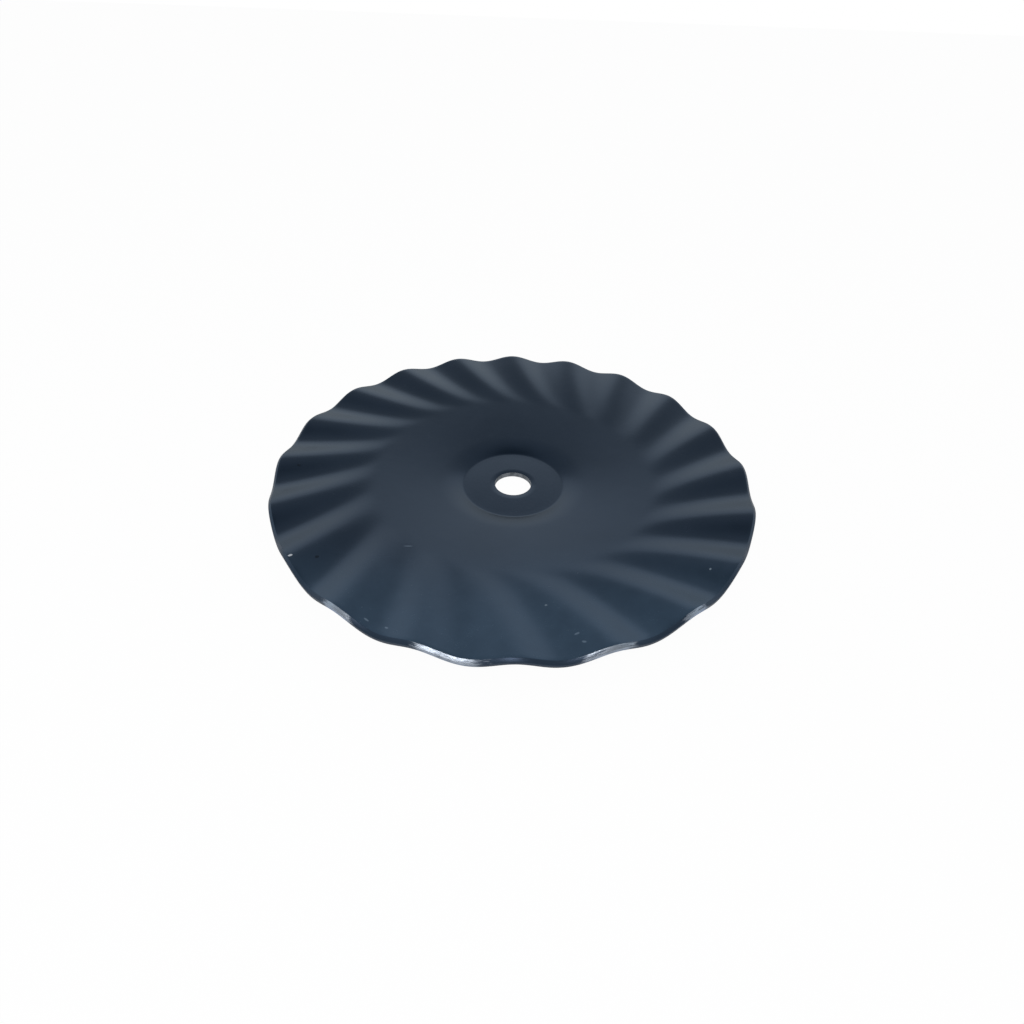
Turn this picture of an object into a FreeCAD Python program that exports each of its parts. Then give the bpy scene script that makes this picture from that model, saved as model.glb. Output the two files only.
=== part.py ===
"""Wavy harrow disc blade, pressed from one round of steel plate.

The blade lies on its hub seat with its hollow side up. The bore's axis is Z, the underside of the seat
is at Z = 0, and a flute crest meets the rim on +X. Lengths are in millimetres, angles in degrees.
"""
import FreeCAD, Part
import math
import os
import Sketcher

from FreeCAD import Vector

# Every driving dimension, once: (name, value, what it is)
SIZES = [
    ("bladeDiameter", 558.8, "over the rim, 22 in"),
    ("plateThickness", 6.35, "1/4 in plate"),
    ("boreDiameter", 44.45, "round bore for a 1-3/4 in gang bolt"),
    ("seatDiameter", 120.0, "flat of the hub seat, up to its bend"),
    ("seatBend", 8.0, "radius of the bend out of the seat, on the hollow side"),
    ("ringBend", 113.0, "radius of the bend over into the web, on the hollow side"),
    ("ringAngle", 22.0, "slope of the ring where one bend passes into the other"),
    ("webAngle", 7.4, "slope of the plain web"),
    ("rimAngle", 4.6, "mean slope of the plate at the rim"),
    ("fluteCount", 20, "waves round the rim"),
    ("fluteStart", 160.0, "radius where the flutes begin"),
    ("fluteFade", 12.0, "radial length over which a flute rises out of the web"),
    ("fluteHeight", 8.3, "trough to crest at the rim"),
    ("fluteRimAngle", 14.8, "in plan, between a crest and the radius at the rim"),
    ("fluteBow", 950.0, "in plan, radius of a crest line"),
    ("bevelWidth", 3.3, "radial width of the ground bevel"),
    ("bevelDepth", 3.0, "how far the bevel cuts into the plate"),
]

doc = FreeCAD.newDocument("harrow_disc_blade")
sheet = doc.addObject("Spreadsheet::Sheet", "Sizes")
for row, (name, value, meaning) in enumerate(SIZES, start=1):
    sheet.set("A%d" % row, name)
    sheet.set("B%d" % row, str(value))
    sheet.setAlias("B%d" % row, name)
    sheet.set("C%d" % row, meaning)
doc.recompute()


def size(name):
    """The value of one cell of the sheet."""
    return float(sheet.get(name))


def angle(name):
    """An angle of the sheet, in radians."""
    return math.radians(size(name))


def attached_sketch(body, role, name):
    """An empty sketch on one of the body's own origin planes."""
    sketch = body.newObject("Sketcher::SketchObject", name)
    origin_plane = next(item for item in body.Origin.OriginFeatures if item.Role == role)
    sketch.AttachmentSupport = (origin_plane, "")
    sketch.MapMode = "FlatFace"
    return sketch


def bind(sketch, expression, kind, *where):
    """Adds a dimension to the sketch and binds it to the sheet."""
    index = sketch.addConstraint(Sketcher.Constraint(kind, *where))
    sketch.setExpression("Constraints[%d]" % index, expression)


# ---- Dish: hub seat, ring and plain web, revolved from one section ----

def seat_bend_end():
    """Where the bend out of the seat passes into the bend over the ring, on the hollow side."""
    turn = angle("ringAngle")
    along = size("seatDiameter") / 2 + size("seatBend") * math.sin(turn)
    return Vector(along, size("plateThickness") + size("seatBend") * (1 - math.cos(turn)), 0)


def web_start():
    """Where the ring's bend ends and the web begins, on the hollow side."""
    steep = angle("ringAngle")
    gentle = angle("webAngle")
    across = size("ringBend") * (math.sin(steep) - math.sin(gentle))
    up = size("ringBend") * (math.cos(gentle) - math.cos(steep))
    return seat_bend_end() + Vector(across, up, 0)


def web_end():
    """Where the web meets the flutes, on the hollow side."""
    start = web_start()
    run = size("fluteStart") - start.x
    return start + Vector(run, run * math.tan(angle("webAngle")), 0)


def arc(centre, radius, first, last):
    """An arc of the section, its two directions in radians from the radial line."""
    return Part.ArcOfCircle(Part.Circle(centre, Vector(0, 0, 1), radius), first, last)


def dish_section(body):
    """The closed half section of the dish, a plate thickness between its two sides."""
    sketch = attached_sketch(body, "XZ_Plane", "DishSection")
    plate = size("plateThickness")
    seat_edge = size("seatDiameter") / 2
    quarter = math.pi / 2
    steep = angle("ringAngle")
    gentle = angle("webAngle")
    seat_centre = Vector(seat_edge, plate + size("seatBend"), 0)
    ring_centre = seat_bend_end() + Vector(math.sin(steep), -math.cos(steep), 0) * size("ringBend")
    web_drop = Vector(math.sin(gentle), -math.cos(gentle), 0) * plate
    end_drop = Vector(0, -plate / math.cos(gentle), 0)

    def seat_arc(radius):
        return arc(seat_centre, radius, -quarter, -quarter + steep)

    def ring_arc(radius):
        return arc(ring_centre, radius, quarter + gentle, quarter + steep)

    def line(first, last):
        return Part.LineSegment(first, last)

    curves = [
        ("seat_under", line(Vector(), Vector(seat_edge, 0, 0))),
        ("seat_bend_under", seat_arc(size("seatBend") + plate)),
        ("ring_bend_under", ring_arc(size("ringBend") - plate)),
        ("web_under", line(web_start() + web_drop, web_end() + end_drop)),
        ("end", line(web_end() + end_drop, web_end())),
        ("web", line(web_end(), web_start())),
        ("ring_bend", ring_arc(size("ringBend"))),
        ("seat_bend", seat_arc(size("seatBend"))),
        ("seat", line(Vector(seat_edge, plate, 0), Vector(0, plate, 0))),
        ("axis", line(Vector(0, plate, 0), Vector())),
    ]
    at = {name: sketch.addGeometry(curve, False) for name, curve in curves}
    origin = (-1, 1)
    radial_axis = -1
    joints = [
        ("Tangent", "seat_under", 2, "seat_bend_under", 1),
        ("Tangent", "seat_bend_under", 2, "ring_bend_under", 2),
        ("Tangent", "ring_bend_under", 1, "web_under", 1),
        ("Coincident", "web_under", 2, "end", 1),
        ("Coincident", "end", 2, "web", 1),
        ("Tangent", "web", 2, "ring_bend", 1),
        ("Tangent", "ring_bend", 2, "seat_bend", 2),
        ("Tangent", "seat_bend", 1, "seat", 1),
        ("Coincident", "seat", 2, "axis", 1),
        ("Coincident", "axis", 2, "seat_under", 1),
        ("Coincident", "seat_bend", 3, "seat_bend_under", 3),
        ("Coincident", "ring_bend", 3, "ring_bend_under", 3),
    ]
    for kind, first, first_point, last, last_point in joints:
        sketch.addConstraint(Sketcher.Constraint(kind, at[first], first_point, at[last], last_point))
    sketch.addConstraint(Sketcher.Constraint("Coincident", at["seat_under"], 1, *origin))
    sketch.addConstraint(Sketcher.Constraint("Horizontal", at["seat_under"]))
    sketch.addConstraint(Sketcher.Constraint("Horizontal", at["seat"]))
    sketch.addConstraint(Sketcher.Constraint("Vertical", at["axis"]))
    sketch.addConstraint(Sketcher.Constraint("Vertical", at["end"]))
    sketch.addConstraint(Sketcher.Constraint("Parallel", at["web"], at["web_under"]))
    bind(sketch, "Sizes.plateThickness", "DistanceY", at["seat_under"], 1, at["seat"], 2, plate)
    bind(sketch, "Sizes.seatDiameter / 2", "DistanceX", *origin, at["seat"], 1, seat_edge)
    bind(sketch, "Sizes.seatBend", "Radius", at["seat_bend"], size("seatBend"))
    bind(sketch, "Sizes.ringBend", "Radius", at["ring_bend"], size("ringBend"))
    bind(sketch, "Sizes.ringAngle", "Angle", at["seat_bend"], steep)
    bind(sketch, "Sizes.webAngle", "Angle", radial_axis, 1, at["web_under"], 1, gentle)
    bind(sketch, "Sizes.fluteStart", "DistanceX", *origin, at["end"], 1, size("fluteStart"))
    return sketch


def make_dish():
    """The hub seat, ring and web as one PartDesign body, with the bore punched through."""
    body = doc.addObject("PartDesign::Body", "Dish")
    sketch = dish_section(body)
    revolve = body.newObject("PartDesign::Revolution", "DishRevolve")
    revolve.Profile = sketch
    revolve.ReferenceAxis = (sketch, ["V_Axis"])
    revolve.Angle = 360
    doc.recompute()

    bore_sketch = attached_sketch(body, "XY_Plane", "BoreCircle")
    circle = bore_sketch.addGeometry(Part.Circle(Vector(), Vector(0, 0, 1), size("boreDiameter") / 2), False)
    bore_sketch.addConstraint(Sketcher.Constraint("Coincident", circle, 3, -1, 1))
    bind(bore_sketch, "Sizes.boreDiameter", "Diameter", circle, size("boreDiameter"))
    bore = body.newObject("PartDesign::Pocket", "Bore")
    bore.Profile = bore_sketch
    bore.Type = "ThroughAll"
    bore.Reversed = True
    doc.recompute()
    for drawn in (sketch, bore_sketch):
        if not drawn.FullyConstrained:
            raise RuntimeError("%s isn't fully constrained" % drawn.Name)
    punched = revolve.Shape.Volume - bore.Shape.Volume
    slug = math.pi * size("boreDiameter") ** 2 / 4 * size("plateThickness")
    if abs(punched - slug) > slug / 1000:
        raise RuntimeError("The bore isn't cut through the seat")
    return body


# ---- Flutes: the wavy band from the web to the rim ----

def crest_angle(radius):
    """Angle about Z of a flute's crest at a radius, in radians, zero at the rim.

    Seen from above, a crest line is an arc of radius fluteBow that meets the rim at fluteRimAngle to
    the blade's radius there.
    """
    rim = size("bladeDiameter") / 2
    bow = size("fluteBow")
    lean = angle("fluteRimAngle")
    centre = math.sqrt(rim ** 2 + bow ** 2 + 2 * rim * bow * math.sin(lean))

    def seen_from_axis(at):
        return math.acos((at ** 2 + centre ** 2 - bow ** 2) / (2 * at * centre))

    return seen_from_axis(radius) - seen_from_axis(rim)


def wave_height(radius):
    """Half the height of the flutes at a radius: a parabola out of the web, then a straight rise."""
    run = size("bladeDiameter") / 2 - size("fluteStart")
    fade = size("fluteFade")
    along = radius - size("fluteStart")
    rise = along - fade / 2
    if along < fade:
        rise = along ** 2 / (2 * fade)
    return size("fluteHeight") / 2 * rise / (run - fade / 2)


def mean_height(radius):
    """Height of the hollow side without its waves: it goes on from the web and eases off at the rim."""
    out = radius - size("fluteStart")
    run = size("bladeDiameter") / 2 - size("fluteStart")
    slope = math.tan(angle("webAngle"))
    easing = (slope - math.tan(angle("rimAngle"))) / (2 * run)
    return web_end().y + slope * out - easing * out ** 2


def hollow_side(radius, turn):
    """Height of the hollow side, waves included, at an angle about Z in radians."""
    phase = size("fluteCount") * (turn - crest_angle(radius))
    return mean_height(radius) + wave_height(radius) * math.cos(phase)


def plate_drop(radius, turn):
    """Plate thickness measured straight down, which the slopes of dish and waves make larger."""
    step = 0.01
    radial = (hollow_side(radius + step, turn) - hollow_side(radius - step, turn)) / (2 * step)
    nudge = step / radius
    around = (hollow_side(radius, turn + nudge) - hollow_side(radius, turn - nudge)) / (2 * step)
    return size("plateThickness") * math.sqrt(1 + radial ** 2 + around ** 2)


def ring(radius, height):
    """A closed wavy edge at a radius, its height a function of radius and angle.

    It starts on a crest, and all rings share one parameter, so that a loft's lines run along the flutes.
    """
    per_flute = 8
    count = per_flute * int(size("fluteCount"))
    points = []
    for index in range(count):
        turn = crest_angle(radius) + 2 * math.pi * index / count
        points.append(Vector(radius * math.cos(turn), radius * math.sin(turn), height(radius, turn)))
    curve = Part.BSplineCurve()
    evenly = [index / count for index in range(count + 1)]
    curve.interpolate(Points=points, PeriodicFlag=True, Parameters=evenly)
    return Part.Wire([curve.toShape()])


def make_flutes():
    """The fluted band with its ground bevel, closed by ruled lofts between wavy rings.

    The rings stand close enough for the strips to keep within a tenth of a millimetre of the smooth form.
    """
    rim = size("bladeDiameter") / 2
    start = size("fluteStart")
    bevel_start = rim - size("bevelWidth")
    strips = 9

    def under_side(radius, turn):
        return hollow_side(radius, turn) - plate_drop(radius, turn)

    def bevel_edge(radius, turn):
        return hollow_side(radius, turn) - size("bevelDepth")

    def spaced(first, last):
        return [first + (last - first) * step / strips for step in range(strips + 1)]

    hollow_rings = [ring(radius, hollow_side) for radius in spaced(start, bevel_start)]
    under_rings = [ring(radius, under_side) for radius in spaced(start, rim)]
    around = hollow_rings + [ring(rim, bevel_edge)] + under_rings[::-1] + hollow_rings[:1]
    skin = Part.makeLoft(around, False, True)
    shell = Part.makeShell(skin.Faces)
    shell.sewShape()
    solid = Part.Solid(Part.Shell(shell.Faces))
    if solid.Volume < 0:
        solid.reverse()
    band = doc.addObject("Part::Feature", "Flutes")
    band.Shape = solid
    return band


dish = make_dish()
flutes = make_flutes()
blade = doc.addObject("Part::Fuse", "Blade")
blade.Label = "disc_blade"
blade.Base = dish
blade.Tool = flutes
doc.recompute()

for item in doc.Objects:
    if "Invalid" in item.State or "Error" in item.State:
        raise RuntimeError("%s failed: %s" % (item.Name, item.State))
nodes = [blade]
for node in nodes:
    if node.Shape.isNull() or not node.Shape.isValid():
        raise RuntimeError("%s has no valid shape" % node.Label)
os.makedirs("parts", exist_ok=True)
for node in nodes:
    node.Shape.exportStep("parts/%s.step" % node.Label)
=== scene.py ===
import math

import bmesh
import bpy
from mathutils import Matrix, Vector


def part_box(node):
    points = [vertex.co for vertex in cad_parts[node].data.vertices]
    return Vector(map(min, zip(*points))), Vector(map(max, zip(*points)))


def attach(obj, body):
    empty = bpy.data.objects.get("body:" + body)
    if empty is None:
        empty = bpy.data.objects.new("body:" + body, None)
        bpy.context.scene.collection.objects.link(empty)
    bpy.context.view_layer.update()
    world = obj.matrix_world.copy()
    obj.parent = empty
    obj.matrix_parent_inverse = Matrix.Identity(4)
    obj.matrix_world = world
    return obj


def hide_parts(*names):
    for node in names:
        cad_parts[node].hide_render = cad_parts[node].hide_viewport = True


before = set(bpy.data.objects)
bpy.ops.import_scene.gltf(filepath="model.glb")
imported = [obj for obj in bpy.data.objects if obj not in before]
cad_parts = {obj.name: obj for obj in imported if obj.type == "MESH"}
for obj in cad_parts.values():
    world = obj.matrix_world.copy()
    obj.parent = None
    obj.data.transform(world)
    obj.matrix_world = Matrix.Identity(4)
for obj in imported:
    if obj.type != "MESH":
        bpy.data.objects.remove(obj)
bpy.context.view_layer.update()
lowest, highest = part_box("disc_blade")
print("frame loaded, blade box", [round(side, 4) for side in highest - lowest])


class Value:
    # a shader socket that takes part in Python sums

    def __init__(self, finish, socket):
        self.finish = finish
        self.socket = socket

    def __add__(self, other):
        return self.finish.maths("ADD", self, other)

    def __radd__(self, other):
        return self.finish.maths("ADD", other, self)

    def __sub__(self, other):
        return self.finish.maths("SUBTRACT", self, other)

    def __rsub__(self, other):
        return self.finish.maths("SUBTRACT", other, self)

    def __mul__(self, other):
        return self.finish.maths("MULTIPLY", self, other)

    def __rmul__(self, other):
        return self.finish.maths("MULTIPLY", other, self)

    def __truediv__(self, other):
        return self.finish.maths("DIVIDE", self, other)


class Finish:
    # one material or world, and the nodes in it

    def __init__(self, owner):
        owner.use_nodes = True
        self.tree = owner.node_tree
        self.tree.nodes.clear()

    def node(self, kind, settings=None, values=None, output=0):
        made = self.tree.nodes.new(kind)
        for name, setting in (settings or {}).items():
            if name == "stops":
                self.setStops(made.color_ramp.elements, setting)
            else:
                setattr(made, name, setting)
        for socket, value in (values or {}).items():
            if isinstance(value, Value):
                self.tree.links.new(value.socket, made.inputs[socket])
            else:
                made.inputs[socket].default_value = value
        return Value(self, made.outputs[output]) if made.outputs else None

    def setStops(self, elements, stops):
        # a new ramp has two stops, and can't lose its last one
        elements.remove(elements[1])
        elements[0].position, elements[0].color = stops[0]
        for position, colour in stops[1:]:
            elements.new(position).color = colour

    def maths(self, operation, first, second=0.0):
        return self.node("ShaderNodeMath", {"operation": operation}, {0: first, 1: second})

    def smooth(self, value, low, high):
        # a soft step from 0 to 1 as the value goes from low to high
        return self.node("ShaderNodeMapRange", {"interpolation_type": "SMOOTHSTEP"},
                         {0: value, 1: low, 2: high, 3: 0.0, 4: 1.0})

    def noise(self, vector, scale, detail, roughness):
        return self.node("ShaderNodeTexNoise", None,
                         {"Vector": vector, "Scale": scale, "Detail": detail, "Roughness": roughness})

    def swing(self, noise, amount):
        # a noise about its middle, times an amount
        return (noise - 0.5) * amount

    def mix(self, factor, first, second):
        # two colours, plain triples or sockets
        first, second = [(*tone, 1.0) if isinstance(tone, tuple) else tone for tone in (first, second)]
        return self.node("ShaderNodeMix", {"data_type": "RGBA"}, {0: factor, 6: first, 7: second}, 2)

    def combine(self, x, y, z):
        return self.node("ShaderNodeCombineXYZ", None, {0: x, 1: y, 2: z})

    def parts(self, vector):
        return [self.node("ShaderNodeSeparateXYZ", None, {0: vector}, axis) for axis in range(3)]

    def objectPlace(self):
        return self.node("ShaderNodeTexCoord", output=3)

    def bump(self, strength, distance, height):
        return self.node("ShaderNodeBump", None,
                         {"Strength": strength, "Distance": distance, "Height": height})

    def close(self, values):
        shader = self.node("ShaderNodeBsdfPrincipled", None, values)
        self.node("ShaderNodeOutputMaterial", None, {"Surface": shader})


# lengths in metres, angles in degrees
blade = {
    "rimRadius": (highest.x - lowest.x) / 2,
    "plate": 0.00635,
    "boreRadius": 0.022225,
    "seatRadius": 0.060,
    "seatBend": 0.008,
    "ringBend": 0.113,
    "ringAngle": 22.0,
    "webAngle": 7.4,
    "rimAngle": 4.6,
    "flutes": 20,
    "fluteStart": 0.160,
    "fluteFade": 0.012,
    "fluteHeight": 0.0083,
    "fluteRimAngle": 14.8,
    "fluteBow": 0.950,
    "bevelWidth": 0.0033,
    "bevelDepth": 0.0030,
    "edgeRound": 0.0004,
    "stepsPerFlute": 24,
    # mesh steps along the radius
    "seatSteps": 5,
    "bendSteps": 5,
    "ringSteps": 10,
    "webSteps": 8,
    "bandSteps": 30,
}

# where a corner lies on the plate: hollow side, under side, or lower edge of the bevel
hollow, under, foot = 0, 1, 2


def bendEnds():
    # where the two bends of the hollow side end: radius and height
    steep, gentle = math.radians(blade["ringAngle"]), math.radians(blade["webAngle"])
    seatEnd = (
        blade["seatRadius"] + blade["seatBend"] * math.sin(steep),
        blade["plate"] + blade["seatBend"] * (1 - math.cos(steep)),
    )
    ringEnd = (
        seatEnd[0] + blade["ringBend"] * (math.sin(steep) - math.sin(gentle)),
        seatEnd[1] + blade["ringBend"] * (math.cos(gentle) - math.cos(steep)),
    )
    return seatEnd, ringEnd


def plainHeight(radius):
    # the hollow side without its flutes
    seatEnd, ringEnd = bendEnds()
    steep, gentle = math.radians(blade["ringAngle"]), math.radians(blade["webAngle"])
    if radius <= blade["seatRadius"]:
        return blade["plate"]
    if radius <= seatEnd[0]:
        along = radius - blade["seatRadius"]
        return blade["plate"] + blade["seatBend"] - math.sqrt(blade["seatBend"] ** 2 - along ** 2)
    if radius <= ringEnd[0]:
        centre = seatEnd[0] + blade["ringBend"] * math.sin(steep)
        base = seatEnd[1] - blade["ringBend"] * math.cos(steep)
        return base + math.sqrt(blade["ringBend"] ** 2 - (radius - centre) ** 2)
    height = ringEnd[1] + (radius - ringEnd[0]) * math.tan(gentle)
    if radius > blade["fluteStart"]:
        out = radius - blade["fluteStart"]
        run = blade["rimRadius"] - blade["fluteStart"]
        height -= (math.tan(gentle) - math.tan(math.radians(blade["rimAngle"]))) / (2 * run) * out ** 2
    return height


def plainSlope(radius):
    step = 1e-6
    return math.atan((plainHeight(radius + step) - plainHeight(radius - step)) / (2 * step))


def crestAngle(radius):
    # how far a crest has swept round at a radius, along a circular bow that ends at the rim
    rim, bow, lean = blade["rimRadius"], blade["fluteBow"], math.radians(blade["fluteRimAngle"])
    centre = math.sqrt(rim ** 2 + bow ** 2 + 2 * rim * bow * math.sin(lean))

    def seen(at):
        return math.acos((at ** 2 + centre ** 2 - bow ** 2) / (2 * at * centre))

    return seen(max(radius, blade["fluteStart"])) - seen(rim)


def waveHeight(radius):
    # half a flute's height, from nothing at the start of the band to its full size at the rim
    run, fade = blade["rimRadius"] - blade["fluteStart"], blade["fluteFade"]
    along = max(radius - blade["fluteStart"], 0)
    rise = along ** 2 / (2 * fade) if along < fade else along - fade / 2
    return blade["fluteHeight"] / 2 * rise / (run - fade / 2)


def hollowSide(radius, turn):
    wave = math.cos(blade["flutes"] * (turn - crestAngle(radius)))
    return plainHeight(radius) + waveHeight(radius) * wave


def plateDrop(radius, turn):
    # the plate's thickness measured straight down
    step = 1e-5
    radial = (hollowSide(radius + step, turn) - hollowSide(radius - step, turn)) / (2 * step)
    nudge = step / radius
    around = (hollowSide(radius, turn + nudge) - hollowSide(radius, turn - nudge)) / (2 * step)
    return blade["plate"] * math.sqrt(1 + radial ** 2 + around ** 2)


def sectionRadii():
    seatEnd, ringEnd = bendEnds()
    bevelStart = blade["rimRadius"] - blade["bevelWidth"]
    stretches = [
        (blade["boreRadius"], blade["seatRadius"], blade["seatSteps"]),
        (blade["seatRadius"], seatEnd[0], blade["bendSteps"]),
        (seatEnd[0], ringEnd[0], blade["ringSteps"]),
        (ringEnd[0], blade["fluteStart"], blade["webSteps"]),
        (blade["fluteStart"], bevelStart, blade["bandSteps"]),
    ]
    radii = []
    for first, last, count in stretches:
        radii += [first + (last - first) * step / count for step in range(count)]
    return radii + [bevelStart]


def drawSection(mesh, side):
    # the plate's section as a closed wire, flat until its corners get their heights
    radii = sectionRadii()
    corners = [(radius, hollow) for radius in radii]
    corners += [(blade["rimRadius"], foot), (blade["rimRadius"], under)]
    corners += [(radius, under) for radius in reversed(radii)]
    section = []
    for radius, face in corners:
        corner = mesh.verts.new((radius, 0, 0))
        corner[side] = face
        section.append(corner)
    return section + [mesh.edges.new(pair) for pair in zip(section, section[1:] + section[:1])]


def shapedPlace(radius, turn, face):
    # the radius and height that a corner takes on its side of the plate
    height = hollowSide(radius, turn)
    if face == foot:
        return radius, height - blade["bevelDepth"]
    if face == hollow:
        return radius, height
    if radius >= blade["fluteStart"]:
        return radius, height - plateDrop(radius, turn)
    slope = plainSlope(radius)
    return radius + blade["plate"] * math.sin(slope), height - blade["plate"] * math.cos(slope)


def roundEdges(mesh, side):
    # the edges between finishes, and the lower edge of the bevel
    sharp = [edge for edge in mesh.edges if len({face.material_index for face in edge.link_faces}) > 1]
    sharp += [edge for edge in mesh.edges if all(corner[side] == foot for corner in edge.verts)]
    bmesh.ops.bevel(mesh, geom=sharp, offset=blade["edgeRound"], offset_type="OFFSET", affect="EDGES",
                    segments=2, profile=0.5, material=-1, clamp_overlap=True)


def makeBlade(finishes):
    mesh = bmesh.new()
    side = mesh.verts.layers.int.new("side")
    bmesh.ops.spin(mesh, geom=drawSection(mesh, side), cent=(0, 0, 0), axis=(0, 0, 1), angle=2 * math.pi,
                   steps=blade["flutes"] * blade["stepsPerFlute"], use_merge=True)
    for corner in mesh.verts:
        # each ring is turned with the flutes, so that the mesh lines run along them
        radius = corner.co.xy.length
        turn = math.atan2(corner.co.y, corner.co.x) + crestAngle(radius)
        radius, height = shapedPlace(radius, turn, corner[side])
        corner.co = (radius * math.cos(turn), radius * math.sin(turn), height)
    bmesh.ops.recalc_face_normals(mesh, faces=mesh.faces)
    justPastBore = blade["boreRadius"] + 1e-5
    for face in mesh.faces:
        if any(corner[side] == foot for corner in face.verts):
            face.material_index = 1
        elif all(corner.co.xy.length < justPastBore for corner in face.verts):
            face.material_index = 2
    roundEdges(mesh, side)
    for face in mesh.faces:
        face.smooth = True
    data = bpy.data.meshes.new("wavy_blade")
    mesh.to_mesh(data)
    mesh.free()
    for finish in finishes:
        data.materials.append(finish)
    piece = bpy.data.objects.new("wavy_blade", data)
    bpy.context.scene.collection.objects.link(piece)
    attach(piece, "root")
    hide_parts("disc_blade")
    print("blade made,", len(data.polygons), "faces")


# in every finish a noise is given by its scale, detail and roughness,
# edges are where a mask starts and ends, and a swing is how far a noise moves a value
paint = {
    "tone": (0.0050, 0.0095, 0.0165),
    "deepTone": (0.0030, 0.0068, 0.0125),
    "deepEdges": (0.35, 0.65),
    "clouds": (9.0, 4.0, 0.55),
    "mottle": (60.0, 4.0, 0.6),
    "fine": (420.0, 3.0, 0.6),
    "peel": (260.0, 2.0, 0.4),
    "ripple": (45.0, 2.0, 0.5),
    # the next keys make painted light: a lighter tone and a little dulling on the side towards -y
    "paintedLightTone": (0.024, 0.043, 0.066),
    "paintedLightEdges": (0.10, 0.26),
    "paintedLightWander": 0.05,
    "paintedLightCover": 0.85,
    "paintedLightSwing": 0.5,
    "paintedLightDulling": 0.08,
    "dustTone": (0.040, 0.047, 0.056),
    "dustEdges": (0.58, 0.80),
    "dustPatchEdges": (0.45, 0.70),
    "dustCover": 0.30,
    "dustDulling": 0.25,
    "roughness": 0.17,
    "mottleSwing": 0.10,
    "fineSwing": 0.08,
    "bumpStrength": 0.5,
    "bumpHeight": 0.00006,
    "rippleShare": 2.0,
    "fineShare": 0.25,
    "ior": 1.5,
    "tint": (0.54, 0.69, 1.0, 1.0),
}

# small wear: where it lies, its half lengths, its turn in degrees and its tone
marks = [
    {"place": (-0.2211, -0.1604), "size": (0.0022, 0.0014), "turn": 30, "tone": (0.40, 0.42, 0.44)},
    {"place": (-0.1110, -0.1305), "size": (0.0045, 0.0005), "turn": 4, "tone": (0.085, 0.11, 0.14)},
    {"place": (0.0286, -0.2110), "size": (0.0012, 0.0008), "turn": 0, "tone": (0.12, 0.15, 0.18)},
    {"place": (0.1942, -0.1671), "size": (0.0012, 0.0009), "turn": 50, "tone": (0.12, 0.15, 0.18)},
    {"place": (0.0541, -0.2468), "size": (0.0024, 0.0010), "turn": 20, "tone": (0.075, 0.105, 0.14)},
    {"place": (0.0593, -0.2560), "size": (0.0020, 0.0010), "turn": -15, "tone": (0.075, 0.105, 0.14)},
    {"place": (-0.1345, -0.2330), "size": (0.0026, 0.0009), "turn": -30, "tone": (0.08, 0.11, 0.145)},
    {"place": (-0.1153, -0.2415), "size": (0.0018, 0.0009), "turn": -25, "tone": (0.08, 0.11, 0.145)},
    {"place": (-0.2542, -0.0082), "size": (0.0022, 0.0016), "turn": 0, "tone": (0.001, 0.002, 0.003)},
    {"place": (-0.1969, -0.1567), "size": (0.0020, 0.0015), "turn": 40, "tone": (0.001, 0.002, 0.003)},
]


markEdges, markSwing = (1.3, 0.7), 1.5


def addMarks(finish, tone, x, y, rough):
    # each mark is an ellipse with a ragged edge
    for mark in marks:
        turn = math.radians(mark["turn"])
        across, along = x - mark["place"][0], y - mark["place"][1]
        first = (across * math.cos(turn) + along * math.sin(turn)) / mark["size"][0]
        second = (along * math.cos(turn) - across * math.sin(turn)) / mark["size"][1]
        far = first * first + second * second + finish.swing(rough, markSwing)
        tone = finish.mix(finish.smooth(far, *markEdges), tone, mark["tone"])
    return tone


def makePaint():
    material = bpy.data.materials.new("blue_black_paint")
    finish = Finish(material)
    place = finish.objectPlace()
    x, y = finish.parts(place)[:2]
    clouds, mottle, fine, peel, ripple = [
        finish.noise(place, *paint[name]) for name in ("clouds", "mottle", "fine", "peel", "ripple")]
    tone = finish.mix(finish.smooth(clouds, *paint["deepEdges"]), paint["deepTone"], paint["tone"])
    # painted light: a lighter bluish tone on the side towards -y, standing in for brightness that the lamp
    # and world don't give there, with a little dulling of the gloss under it
    paintedLight = finish.smooth(y * -1.0 + finish.swing(clouds, paint["paintedLightWander"]), *paint["paintedLightEdges"])
    paintedLightAmount = paintedLight * (paint["paintedLightCover"] + finish.swing(mottle, paint["paintedLightSwing"]))
    tone = finish.mix(paintedLightAmount, tone, paint["paintedLightTone"])
    dust = finish.smooth(fine, *paint["dustEdges"]) * finish.smooth(mottle, *paint["dustPatchEdges"])
    dust = dust * paint["dustCover"]
    tone = finish.mix(dust, tone, paint["dustTone"])
    tone = addMarks(finish, tone, x, y, fine)
    gloss = paint["roughness"] + finish.swing(mottle, paint["mottleSwing"])
    gloss = gloss + finish.swing(fine, paint["fineSwing"])
    gloss = gloss + dust * paint["dustDulling"] + paintedLight * paint["paintedLightDulling"]
    relief = peel + ripple * paint["rippleShare"] + fine * paint["fineShare"]
    finish.close({
        "Base Color": tone,
        "Roughness": gloss,
        "Normal": finish.bump(paint["bumpStrength"], paint["bumpHeight"], relief),
        "IOR": paint["ior"],
        "Specular Tint": paint["tint"],
    })
    return material


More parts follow.
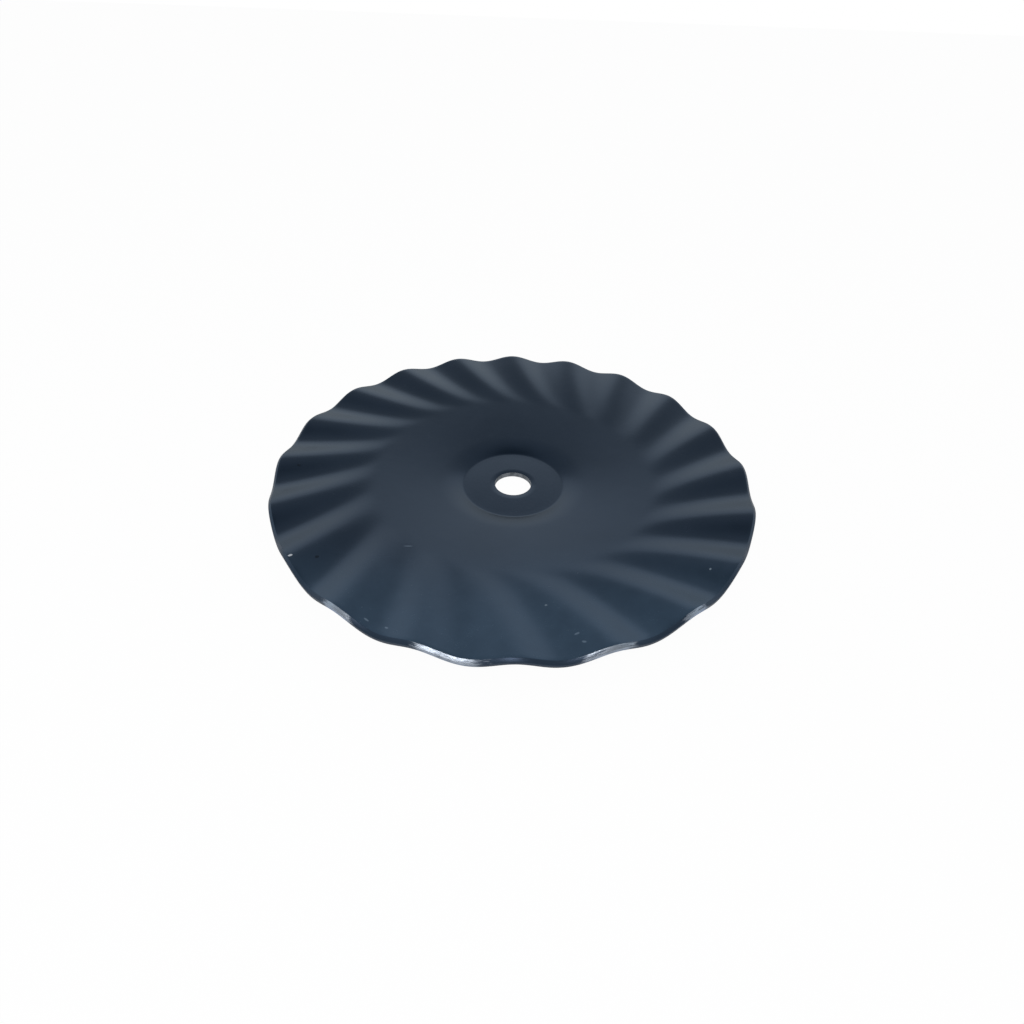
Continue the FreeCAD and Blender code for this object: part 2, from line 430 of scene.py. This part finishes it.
steel = {
    "tone": (0.40, 0.44, 0.50),
    "darkTone": (0.012, 0.021, 0.033),
    "tint": (0.50, 0.66, 1.0, 1.0),
    "lines": (3400.0, 3.0, 0.6),
    "lineStretch": 0.004,
    "patches": (90.0, 4.0, 0.6),
    "patchStretch": 3.0,
    "grain": (900.0, 3.0, 0.6),
    "wornShare": 0.55,
    "lineSwing": 1.1,
    "patchSwing": 0.8,
    "bareEdges": (0.25, 0.60),
    "metal": 0.9,
    "roughness": 0.36,
    "lineDulling": 0.25,
    "grainDulling": 0.15,
    "bumpStrength": 0.7,
    "bumpHeight": 0.0001,
    "grainShare": 0.5,
    "bareShare": 0.3,
    # where the grinding shows bare: middle and half width of each stretch, in degrees
    "bareStretches": [(-125.4, 6.0), (-102.7, 10.0), (-73.0, 8.0), (-53.3, 5.0)],
    "fullBare": 0.3,  # the share of a half width that is wholly bare
}


def makeGroundSteel():
    # the bevel: grinding lines run along the edge, with paint and scale left between them
    material = bpy.data.materials.new("ground_steel")
    finish = Finish(material)
    place = finish.objectPlace()
    x, y, z = finish.parts(place)
    radius = finish.node("ShaderNodeVectorMath", {"operation": "LENGTH"}, {0: finish.combine(x, y, 0.0)}, 1)
    turn = finish.maths("ARCTAN2", y, x)
    wave = finish.maths("COSINE", turn * blade["flutes"])
    level = z - wave * (blade["fluteHeight"] / 2)
    across = radius - blade["rimRadius"]
    stretch = steel["patchStretch"]
    lines = finish.noise(finish.combine(turn * steel["lineStretch"], across, level), *steel["lines"])
    patches = finish.noise(finish.combine(turn * blade["rimRadius"], across * stretch, level * stretch),
                           *steel["patches"])
    grain = finish.noise(place, *steel["grain"])
    worn = 0.0
    for middle, half in steel["bareStretches"]:
        away = finish.maths("ABSOLUTE", turn * (180 / math.pi) - middle)
        worn = finish.smooth(away, half, half * steel["fullBare"]) + worn
    bare = worn * steel["wornShare"] + finish.swing(lines, steel["lineSwing"])
    bare = finish.smooth(bare + finish.swing(patches, steel["patchSwing"]), *steel["bareEdges"])
    gloss = steel["roughness"] + finish.swing(lines, steel["lineDulling"])
    relief = lines + grain * steel["grainShare"] + bare * steel["bareShare"]
    finish.close({
        "Base Color": finish.mix(bare, steel["darkTone"], steel["tone"]),
        "Roughness": gloss + finish.swing(grain, steel["grainDulling"]),
        "Metallic": bare * steel["metal"],
        "Normal": finish.bump(steel["bumpStrength"], steel["bumpHeight"], relief),
        "Specular Tint": steel["tint"],
    })
    return material


wall = {
    "tone": (0.20, 0.215, 0.235),
    "paintTone": (0.06, 0.07, 0.08),
    "shear": (1800.0, 3.0, 0.6),
    "shearStretch": 0.12,
    "patches": (120.0, 3.0, 0.6),
    "bareEdges": (0.35, 0.6),
    "metal": 0.6,
    "roughness": 0.42,
    "shearDulling": 0.3,
    "bumpStrength": 0.6,
    "bumpHeight": 0.00012,
}


def makeBoreWall():
    # punched wall: sheared metal with upright lines, and thin paint over it in patches
    material = bpy.data.materials.new("punched_wall")
    finish = Finish(material)
    place = finish.objectPlace()
    x, y, z = finish.parts(place)
    around = finish.maths("ARCTAN2", y, x) * blade["boreRadius"]
    shear = finish.noise(finish.combine(around, z * wall["shearStretch"], 0.0), *wall["shear"])
    bare = finish.smooth(finish.noise(place, *wall["patches"]), *wall["bareEdges"])
    finish.close({
        "Base Color": finish.mix(bare, wall["paintTone"], wall["tone"]),
        "Roughness": wall["roughness"] + finish.swing(shear, wall["shearDulling"]),
        "Metallic": bare * wall["metal"],
        "Normal": finish.bump(wall["bumpStrength"], wall["bumpHeight"], shear),
    })
    return material


room = {
    "floorSize": 60.0,
    "floorTone": (0.80, 0.80, 0.80),
    "floorGlow": 0.965,
    "fill": (0.62, 0.64, 0.66),
    # height in degrees, brightness
    "sky": [(0, 0.50), (10, 0.68), (19, 1.02), (29, 1.14), (36, 1.06), (41, 0.68), (47, 0.50),
            (58, 0.50), (66, 0.40), (74, 0.16), (84, 0.06)],
    "skyTint": (0.80, 0.92, 1.0),
    "frontSide": (0.20, 0.21, 0.22),
    "frontEdges": (-0.45, 0.05),
}


def makeFloor():
    mesh = bmesh.new()
    bmesh.ops.create_grid(mesh, x_segments=1, y_segments=1, size=room["floorSize"] / 2)
    data = bpy.data.meshes.new("floor")
    mesh.to_mesh(data)
    mesh.free()
    floor = bpy.data.objects.new("floor", data)
    bpy.context.scene.collection.objects.link(floor)
    material = bpy.data.materials.new("pale_floor")
    finish = Finish(material)
    seen = finish.node("ShaderNodeLightPath", output=0)
    lit = finish.node("ShaderNodeBsdfDiffuse", None, {"Color": (*room["floorTone"], 1.0)})
    glow = finish.node("ShaderNodeEmission", None, {"Color": (1.0, 1.0, 1.0, 1.0), "Strength": 1.0})
    shader = finish.node("ShaderNodeMixShader", None, {0: seen * room["floorGlow"], 1: lit, 2: glow})
    finish.node("ShaderNodeOutputMaterial", None, {"Surface": shader})
    data.materials.append(material)
    print("floor laid")


def skyStop(height, brightness):
    # a ramp's stop: the upward part of a direction at that height, and the sky's colour there
    return math.sin(math.radians(height)), (*[brightness * tint for tint in room["skyTint"]], 1)


def makeWorld():
    # white to the eye; reflections see a bright band low down, a dark ceiling and a dim side towards -y
    world = bpy.data.worlds.new("studio")
    bpy.context.scene.world = world
    finish = Finish(world)
    direction = finish.node("ShaderNodeTexCoord", output=0)
    ahead, rise = finish.parts(direction)[1:]
    eye, gloss, clear = [finish.node("ShaderNodeLightPath", output=ray) for ray in (0, 3, 6)]
    sky = finish.node("ShaderNodeValToRGB", {"stops": [skyStop(*stop) for stop in room["sky"]]}, {0: rise})
    sky = finish.mix(finish.smooth(ahead, *room["frontEdges"]), room["frontSide"], sky)
    tone = finish.mix(gloss, room["fill"], sky)
    tone = finish.mix(finish.maths("MAXIMUM", eye, clear), tone, (1.0, 1.0, 1.0))
    shell = finish.node("ShaderNodeBackground", None, {"Color": tone, "Strength": 1.0})
    finish.node("ShaderNodeOutputWorld", None, {"Surface": shell})
    print("world made")


lamp = {"place": (-0.25, -1.3, 1.5), "size": 0.9, "power": 16.0}


def makeLamp():
    data = bpy.data.lights.new("frontLamp", "AREA")
    data.shape = "DISK"
    data.size = lamp["size"]
    data.energy = lamp["power"]
    light = bpy.data.objects.new("frontLamp", data)
    light.location = lamp["place"]
    light.rotation_euler = (-light.location).to_track_quat("-Z", "Y").to_euler()
    bpy.context.scene.collection.objects.link(light)
    print("lamp placed")


# from in front, looking down at about 40 degrees
view = {"place": (-0.01757, -0.56206, 0.45294), "turn": (48.711, -1.605, -0.390), "lens": 20.412}


def makeCamera():
    camera = bpy.data.objects.new("camera", bpy.data.cameras.new("camera"))
    camera.location = view["place"]
    camera.rotation_euler = [math.radians(turn) for turn in view["turn"]]
    camera.data.lens = view["lens"]
    camera.data.clip_start = 0.01
    bpy.context.scene.collection.objects.link(camera)
    bpy.context.scene.camera = camera
    print("camera placed")


makeBlade([makePaint(), makeGroundSteel(), makeBoreWall()])
makeFloor()
makeWorld()
makeLamp()
makeCamera()
bpy.context.scene.view_settings.view_transform = "Standard"
